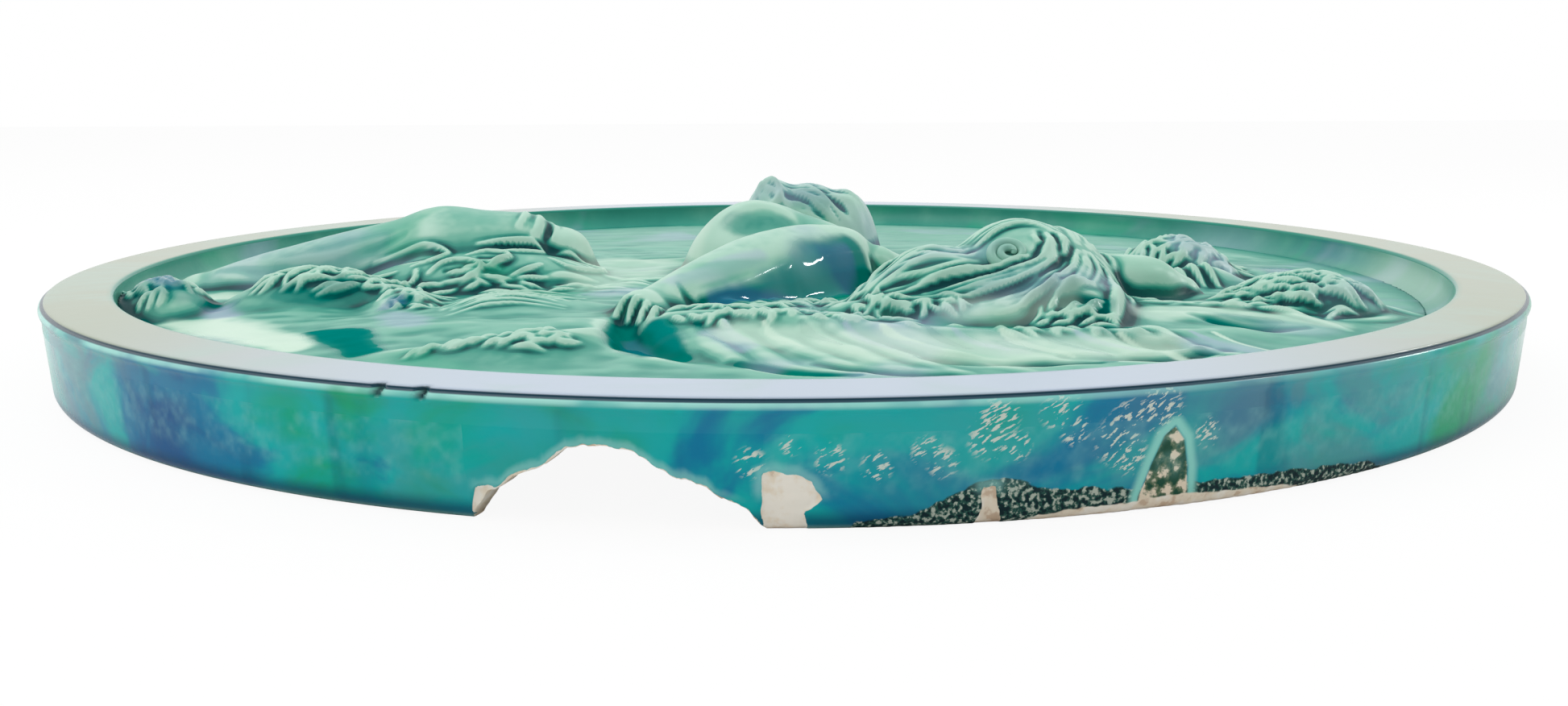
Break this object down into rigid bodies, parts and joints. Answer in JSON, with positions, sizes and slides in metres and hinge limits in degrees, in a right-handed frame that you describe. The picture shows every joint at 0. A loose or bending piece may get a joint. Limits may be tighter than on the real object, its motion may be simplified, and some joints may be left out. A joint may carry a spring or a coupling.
{
  "type": "ceramic relief wall plaque",
  "caption": "Round glazed ceramic wall plaque, hollow behind, with a raised flat rim, a sea relief with swimming figures and a chip broken out of its foot.",
  "frame": {"origin": "on the plaque's axis, in the plane that its foot rests on", "axes": "+Z out of the relief, along the plaque's axis; -Y towards the edge with the broken-out arch"},
  "size_m": [0.5, 0.5, 0.0535],
  "materials": {
    "wall_glaze": "glossy turquoise lustre glaze",
    "rim_glaze": "glossy pale grey-green lustre glaze",
    "field_glaze": "glossy sea-green lustre glaze",
    "sea_glaze": "glossy sea-green lustre glaze",
    "foam_glaze": "glossy sea-green lustre glaze, pooled in the hollows",
    "figure_glaze": "glossy sea-green lustre glaze, pooled in the hollows",
    "bare_clay": "bare fired buff earthenware"
  },
  "bodies": {
    "root": {"wall_ring": "wall_glaze", "rim_band": "rim_glaze", "cove_ring": "field_glaze", "field_slab": "bare_clay", "swimmer_upper_arm": "figure_glaze", "swimmer_forearm": "figure_glaze", "swimmer_hand": "figure_glaze", "swimmer_back": "figure_glaze", "swimmer_head": "figure_glaze", "swimmer_hip": "figure_glaze", "swimmer_leg": "figure_glaze", "hair_curl": "figure_glaze", "sleeper_head": "figure_glaze", "sleeper_hair": "figure_glaze", "sleeper_fringe": "figure_glaze", "sleeper_arm": "figure_glaze", "far_arm": "figure_glaze", "far_fingers": "figure_glaze", "foam_right": "foam_glaze", "foam_left": "foam_glaze", "foam_tangle": "foam_glaze", "foam_ribbons": "foam_glaze", "spray_fan": "foam_glaze", "crest_middle": "foam_glaze", "crest_left": "foam_glaze", "crest_right": "foam_glaze", "sea_back": "sea_glaze", "sea_back_left": "sea_glaze", "sea_front_left": "sea_glaze", "sea_front": "sea_glaze", "sea_front_right": "sea_glaze", "sea_back_right": "sea_glaze"}
  },
  "joints": []
}
